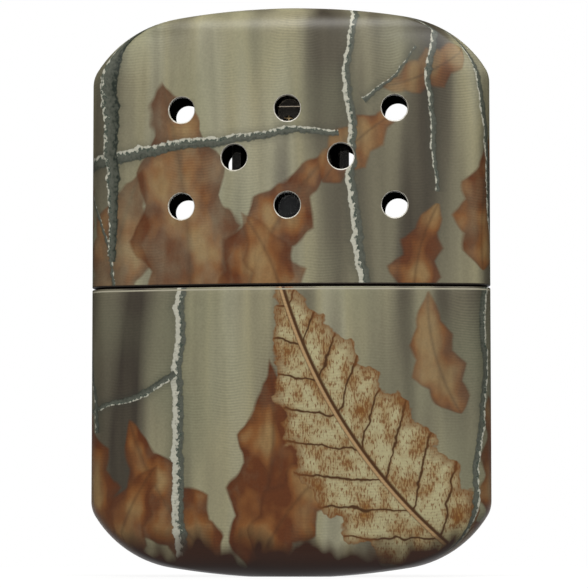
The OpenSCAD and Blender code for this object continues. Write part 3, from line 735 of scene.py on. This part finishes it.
def printedPaint(name, layout, seed):
    # satin enamel with a woodland print: trunks out of focus, leaves and stems
    s = printSet
    material, tree, shader = newMaterial(name, **s["finish"])
    where = addNode(tree, "TexCoord").outputs["Object"]
    around = addNode(tree, "UVMap", {"uv_map": "print"}).outputs[0]
    parts = addNode(tree, "SeparateXYZ", None, {0: around})
    height = parts.outputs[1]
    quarter = shell["printWidth"] / 4
    spots = []
    for shift in (0, quarter):           # the print repeats on the back
        turned = calc(tree, "WRAP", calc(tree, "SUBTRACT", parts.outputs[0], shift),
                      quarter, -quarter)
        spots.append(addNode(tree, "CombineXYZ", None, {0: turned, 1: height}).outputs[0])
    face, flank = spots

    colour = ramp(tree, noise(tree, where, *s["trunkNoise"], (seed, 0, 0)), s["trunks"])
    for over, scale, detail, shift, middle, gain, share in s["overlays"]:
        patches = spread(tree, noise(tree, where, scale, detail, (seed, *shift)), middle, gain)
        colour = blend(tree, calc(tree, "MULTIPLY", patches, share), colour, over)

    fields = {                           # noise that the motifs share, scaled per mm
        "blots": noise(tree, face, (0.16, 0.10, 1), 2.0, (seed, 0, 0)),
        "bark": noise(tree, around, (1.6, 1.2, 1), 2.0),
        "crinkle": noise(tree, face, (0.35, 0.35, 1), 2.0, (seed, 2, 0)),
        "mottle": noise(tree, face, (0.30, 0.22, 1), 4.0, (seed, 4, 0)),
        "flecks": noise(tree, face, (3.6, 1.1, 1), 2.0, (seed, 6, 0)),
        "streaks": noise(tree, around, (0.5, 0.07, 1), 2.0, (seed, 3, 0)),
    }
    for add, motifs, spot in ((addLeaf, "leaves", face), (addLeaf, "flankLeaves", flank),
                              (addStraw, "straw", face), (addStem, "stems", face),
                              (addStem, "flankStems", flank)):
        for motif in layout[motifs]:
            colour = add(tree, colour, spot, motif, fields)
    # darker towards the foot: leaf litter in the print, and painted shade under the bottom edge
    if layout["litterAndShade"]:
        top, ragged = layout["litterAndShade"]
        edge = calc(tree, "ADD", spread(tree, fields["blots"], 0.5, ragged, clamp=False), top)
        colour = blend(tree, calc(tree, "MULTIPLY", calc(
            tree, "SUBTRACT", edge, height), s["litterAndShadeFade"], clamp=True), colour, s["litterAndShade"])

    # fine wavy lines left by the print, stronger in some places
    wave = noise(tree, around, *s["waveNoise"], (seed, 8, 0))
    phase = calc(tree, "ADD", calc(tree, "DIVIDE", height, s["lines"]),
                 calc(tree, "MULTIPLY", wave, s["lineWaver"]))
    lines = calc(tree, "SINE", calc(tree, "MULTIPLY", phase, 2 * math.pi))
    strength = spread(tree, wave, s["lineFrom"], s["lineGain"])
    grain = noise(tree, where, 3 * (s["grain"],), 1.0)
    value = calc(tree, "ADD", calc(tree, "MULTIPLY", lines, strength),
                 spread(tree, grain, 0.5, s["grainShare"], clamp=False))
    bright = calc(tree, "ADD", calc(tree, "MULTIPLY", value, s["relief"]), 1.0)
    colour = addNode(tree, "HueSaturation", None,
                     {"Value": bright, "Color": colour}).outputs[0]
    # lines of painted light along the seam: dark ones paint its shade, pale ones a highlight on
    # the rolled rim
    for at, reach, line in layout["rim"]:
        away = calc(tree, "ABSOLUTE", calc(tree, "SUBTRACT", height, at))
        colour = blend(tree, stripe(tree, away, reach, s["rimSharp"]), colour, line)
    tree.links.new(colour, shader.inputs["Base Color"])
    return material


# The sheet's other surfaces: roughness, metallic, noise per metre, detail, colours
sheetSet = {
    # bare drawn steel inside the shells, dulled by heat and fuel; its near-black colour is
    # painted shade
    "dulledAndShadedSteel": (0.6, 1.0, (160, 160, 60), 3.0, [(0.35, "#0D0C0B"), (0.65, "#1C1A18")]),
    # print worn thin over the turned-in edge of a vent, kept pale as a painted highlight for
    # its lit lower side
    "wornEdgeAndHighlight": (0.35, 0.0, (900, 900, 900), 2.0, [(0.35, "#B1AC9D"), (0.65, "#DDD9CE")]),
}


def sheetSurface(name):
    roughness, metallic, scale, detail, colours = sheetSet[name]
    material, tree, shader = newMaterial(name, Metallic=metallic, Roughness=roughness)
    where = addNode(tree, "TexCoord").outputs["Object"]
    tree.links.new(ramp(tree, noise(tree, where, scale, detail), colours),
                   shader.inputs["Base Color"])
    return material


# the shells' inside is painted near black as shade
makeShells(printedPaint("coverPrint", coverLayout, 3.1),
           printedPaint("tankPrint", tankLayout, 7.7),
           sheetSurface("dulledAndShadedSteel"), sheetSurface("wornEdgeAndHighlight"))
print("shells made")


# Bright metal: nodes, two colours, two roughnesses, grain per metre along each
# axis, depth of the grain in mm, and the heights between which heat has tinted it.
metalSet = {
    # chrome plate over drawn brass: a mirror, a little hazy, with faint draw lines
    "chromePlatedBrass": (
        ["tank_deck", "filler_neck", "burner_skirt"],
        ("#D2D4D6", "#DFE1E2"), (0.08, 0.13), (2600, 2600, 260), 0.002, None),
    # the same plate, with a dark line of painted shade where the cover's rim rests in the seam
    "handledChromePlate": (
        ["tank_collar"],
        ("#D2D4D6", "#DFE1E2"), (0.08, 0.13), (2600, 2600, 260), 0.002, None),
    # the same plate where the catalyst has warmed it: a thin straw tint near the top
    "heatedChromePlate": (
        ["cage_front", "cage_rear", "burner_cap"],
        ("#C8CACC", "#DBDDDE"), (0.10, 0.18), (2600, 2600, 260), 0.002, (66, 86)),
    # punched stainless sheet, mill finish: soft rolled lines
    "rolledStainless": (
        ["neck_screen", "diffuser_plate"],
        ("#9C9A95", "#BDBBB5"), (0.26, 0.40), (300, 4200, 4200), 0.004, None),
    # tempered stainless strip: smoother, rolled lengthwise
    "springStainless": (
        ["grip_spring_left", "grip_spring_right"],
        ("#A7A8A8", "#CFCFCD"), (0.18, 0.30), (4200, 4200, 300), 0.003, None),
    # headed stainless rivets, marked by the tool
    "headedStainless": (
        ["cage_rivets", "spring_rivets"],
        ("#A9A8A5", "#CDCCC9"), (0.22, 0.36), (3200, 3200, 3200), 0.005, None),
    # drawn wire, dulled and browned by the burner's heat
    "scaledStainlessWire": (
        ["gauze_front", "gauze_rear"],
        ("#5E5853", "#8E8880"), (0.34, 0.52), (5200, 5200, 5200), 0.006, (60, 76)),
}
# What they share: clouds in the tone, the heat's straw tint with its ragged foot in
# mm, and the painted shade in the seam under the cover's rim: its height and reach in mm.
metalShared = {
    "cloudNoise": ((180, 180, 180), 3.0), "stops": (0.35, 0.65), "cloudShare": 0.6,
    "tint": "#B79A62", "tintShare": 0.55, "tintRagged": 12,
    "seamShade": "#0E0C0A", "seamShadeLift": 0.15, "seamShadeReach": 0.9, "seamShadeSharp": 6000,
    "seamShadeRough": 0.5,
}


def barePlate(name, nodes, colours, shine, grain, depth, heated):
    s = metalShared
    material, tree, shader = newMaterial(name, Metallic=1.0)
    where = addNode(tree, "TexCoord").outputs["Object"]
    cloud = noise(tree, where, *s["cloudNoise"])
    fine = noise(tree, where, grain)
    colour = ramp(tree, cloud, list(zip(s["stops"], colours)))
    if heated:
        parts = addNode(tree, "SeparateXYZ", None, {0: where})
        rise = addNode(tree, "MapRange", None, {
            "Value": calc(tree, "ADD", parts.outputs[2],
                          spread(tree, cloud, 0.5, s["tintRagged"] * mm, clamp=False)),
            "From Min": heated[0] * mm, "From Max": heated[1] * mm}).outputs[0]
        colour = blend(tree, calc(tree, "MULTIPLY", rise, s["tintShare"]), colour, s["tint"])
    low, high = shine
    both = calc(tree, "ADD", calc(tree, "MULTIPLY", cloud, s["cloudShare"]),
                calc(tree, "MULTIPLY", fine, 1 - s["cloudShare"]))
    rough = calc(tree, "ADD", calc(tree, "MULTIPLY", both, 2 * (high - low)),
                 low - 0.5 * (high - low))
    # a dark band of painted shade on the collar, in the seam under the cover's rim, rougher
    # there too
    if name == "handledChromePlate":
        level = addNode(tree, "SeparateXYZ", None, {0: where}).outputs[2]
        away = calc(tree, "ABSOLUTE", calc(tree, "SUBTRACT", level,
                                           (shell["seam"] + s["seamShadeLift"]) * mm))
        seamShade = stripe(tree, away, calc(tree, "MULTIPLY", fine, s["seamShadeReach"] * mm),
                      s["seamShadeSharp"])
        colour = blend(tree, seamShade, colour, s["seamShade"])
        rough = calc(tree, "ADD", rough, calc(tree, "MULTIPLY", seamShade, s["seamShadeRough"]))
    tree.links.new(colour, shader.inputs["Base Color"])
    tree.links.new(rough, shader.inputs["Roughness"])
    bump = addNode(tree, "Bump", None, {"Strength": 1.0, "Distance": depth * mm,
                                        "Height": fine}).outputs[0]
    tree.links.new(bump, shader.inputs["Normal"])
    for node in nodes:
        for place in bpy.data.objects[node].material_slots:
            place.material = material


for name, facts in metalSet.items():
    barePlate(name, *facts)
print("metal finished")


# Soft pieces: the CAD node each one stands for, its body, the size of its faces, how
# far its skin is drawn in before it swells, and the depth and size of its tufts, in mm.
# Above calmFrom, where its walls are thin, the tufts are shallow.
softSet = {
    "cotton_packing": {
        "node": "cotton_batting", "body": "tank", "slot": "cotton", "fill": 0.9,
        "face": 0.9, "pull": 0.45, "smooth": 2, "grow": 12, "frames": 20, "pressure": 4.0,
        "tuft": 1.0, "tuftSize": 4.5, "calmFrom": 43, "refine": 1},
    "felt_plug": {
        "node": "wick_felt", "body": "tank", "slot": "felt", "fill": 0.8,
        "face": 0.4, "pull": 0.22, "smooth": 2, "grow": 30, "frames": 12, "pressure": 4.0,
        "tuft": 0.12, "tuftSize": 1.2, "calmFrom": 99, "refine": 1},
    "folded_mat": {
        "node": "catalyst_mat", "body": "burner", "slot": "catalyst", "fill": 0.6,
        "face": 0.26, "pull": 0.12, "smooth": 3, "grow": 30, "frames": 12, "pressure": 4.0,
        "tuft": 0.07, "tuftSize": 0.9, "calmFrom": 99, "refine": 0},
}
# What they share. The skin keeps its gap inside the CAD solid, in mm; the wool is the
# tufts' roughness, step and octaves, then their gain, and their share where calm.
softShared = {
    "weld": 0.002, "smooth": 0.5, "quality": 4, "skinGap": 0.02,
    "wool": (0.9, 2.1, 4), "woolGain": 1.3, "calmShare": 0.25,
}
fibreSet = {
    "finish": {"Roughness": 0.95, "Sheen_Roughness": 0.5, "Specular_IOR_Level": 0.2},
    "length": 0.12,                      # noise scale along a fibre, per that across it
    "cloudNoise": ((260, 260, 260), 3.0), "stops": (0.40, 0.62), "cloudShare": 0.6,
    "weaveShare": 0.5, "weaveTone": 0.12, "relief": 0.9,
}


def fibreMaterial(name, colours, fibre, depth, sheen, weave=None):
    # fibres lie in three directions; a woven mat also has its threads' pitch in mm
    s = fibreSet
    material, tree, shader = newMaterial(name, Sheen_Weight=sheen, **s["finish"])
    where = addNode(tree, "TexCoord").outputs["Object"]
    fine, long = 1 / (fibre * mm), s["length"] / (fibre * mm)
    strands = None
    for stretch in ((long, fine, fine), (fine, long, fine), (fine, fine, long)):
        strand = noise(tree, where, stretch, 2.0, stretch)
        strands = calc(tree, "MAXIMUM", strands, strand) if strands else strand
    tone = noise(tree, where, *s["cloudNoise"])
    height = strands
    if weave:
        parts = addNode(tree, "SeparateXYZ", None, {0: where})
        waves = [calc(tree, "SINE", calc(tree, "MULTIPLY", parts.outputs[axis],
                                         2 * math.pi / (weave * mm))) for axis in (0, 2)]
        cross = calc(tree, "MULTIPLY", *waves)
        height = calc(tree, "ADD", calc(tree, "MULTIPLY", cross, s["weaveShare"]),
                      calc(tree, "MULTIPLY", strands, 1 - s["weaveShare"]))
        tone = calc(tree, "ADD", tone, calc(tree, "MULTIPLY", cross, s["weaveTone"]))
    shade = calc(tree, "ADD", calc(tree, "MULTIPLY", tone, s["cloudShare"]),
                 calc(tree, "MULTIPLY", strands, 1 - s["cloudShare"]))
    tree.links.new(ramp(tree, shade, list(zip(s["stops"], colours))),
                   shader.inputs["Base Color"])
    bump = addNode(tree, "Bump", None, {"Strength": s["relief"], "Distance": depth * mm,
                                        "Height": height}).outputs[0]
    tree.links.new(bump, shader.inputs["Normal"])
    return material


def keepShape(piece):
    # puts what the modifiers have made into the mesh
    depsgraph = bpy.context.evaluated_depsgraph_get()
    made = bpy.data.meshes.new_from_object(piece.evaluated_get(depsgraph))
    piece.modifiers.clear()
    piece.data = made


def swell(piece, s):
    # cloth with air pressure, simulated larger, and no point moves past the pull
    home = [vert.co.copy() for vert in piece.data.vertices]
    for vert in piece.data.vertices:
        vert.co *= s["grow"]
    cloth = piece.modifiers.new("air", "CLOTH")
    cloth.settings.quality = softShared["quality"]
    cloth.settings.use_pressure = True
    cloth.settings.uniform_pressure_force = s["pressure"]
    cloth.settings.effector_weights.gravity = 0
    for number in range(1, s["frames"] + 1):
        bpy.context.scene.frame_set(number)
    keepShape(piece)
    bpy.context.scene.frame_set(1)
    for vert, old in zip(piece.data.vertices, home):
        move = vert.co / s["grow"] - old
        if move.length > s["pull"] * mm:
            move *= s["pull"] * mm / move.length
        vert.co = old + move


def holdInside(bm, room):
    # any point that has left the room of its CAD solid goes back under its surface
    gap = softShared["skinGap"]
    for vert in bm.verts:
        spot, normal, _, _ = room.find_nearest(vert.co)
        if (vert.co - spot).dot(normal) > -gap * mm:
            vert.co = spot - normal * gap * mm


def makeSoft(name, s, material):
    bm = bmesh.new()
    bm.from_mesh(bpy.data.objects[s["node"]].data)
    bmesh.ops.remove_doubles(bm, verts=bm.verts, dist=softShared["weld"] * mm)
    bmesh.ops.recalc_face_normals(bm, faces=bm.faces)
    room = BVHTree.FromBMesh(bm)
    piece = newObject(name, bm, [material], s["body"], [s["node"]])
    even = piece.modifiers.new("even", "REMESH")
    even.mode = "VOXEL"
    even.voxel_size = s["face"] * mm
    keepShape(piece)
    bm = bmesh.new()
    bm.from_mesh(piece.data)
    for _ in range(s["smooth"]):
        bmesh.ops.smooth_vert(bm, verts=bm.verts, factor=softShared["smooth"],
                              use_axis_x=True, use_axis_y=True, use_axis_z=True)
    bm.normal_update()
    for vert in bm.verts:
        vert.co -= vert.normal * s["pull"] * mm
    bm.to_mesh(piece.data)
    bm.free()
    swell(piece, s)
    if s["refine"]:
        finer = piece.modifiers.new("finer", "SUBSURF")
        finer.levels = finer.render_levels = s["refine"]
        keepShape(piece)
    bm = bmesh.new()
    bm.from_mesh(piece.data)
    bm.normal_update()
    for vert in bm.verts:                # tufts sink in from the skin, never out
        wool = fractal(vert.co / (s["tuftSize"] * mm), *softShared["wool"])
        depth = s["tuft"] * (1 if vert.co.z < s["calmFrom"] * mm else softShared["calmShare"])
        vert.co -= vert.normal * depth * mm * min(1, abs(wool) * softShared["woolGain"])
    holdInside(bm, room)
    for face in bm.faces:
        face.smooth = True
    bm.to_mesh(piece.data)
    bm.free()
    if not piece.data.materials:
        piece.data.materials.append(material)
    return piece


# carded cotton: matt off-white, fine loose fibres
cottonFibre = fibreMaterial("cardedCotton", ("#D9D2C2", "#F1EDE3"), 0.12, 0.12, 0.4)
# pressed wool felt: dense short grey-white fibres
woolFelt = fibreMaterial("pressedWoolFelt", ("#B9B3A4", "#DAD5C8"), 0.08, 0.06, 0.3)
# woven glass fibre, greyed by its catalyst; 0.9 mm threads
glassMat = fibreMaterial("catalystGlassMat", ("#55534F", "#8C8983"), 0.06, 0.10, 0.1, 0.9)
for (name, facts), material in zip(softSet.items(), (cottonFibre, woolFelt, glassMat)):
    made = makeSoft(name, facts, material)
    print(name, "made,", len(made.data.polygons), "faces")
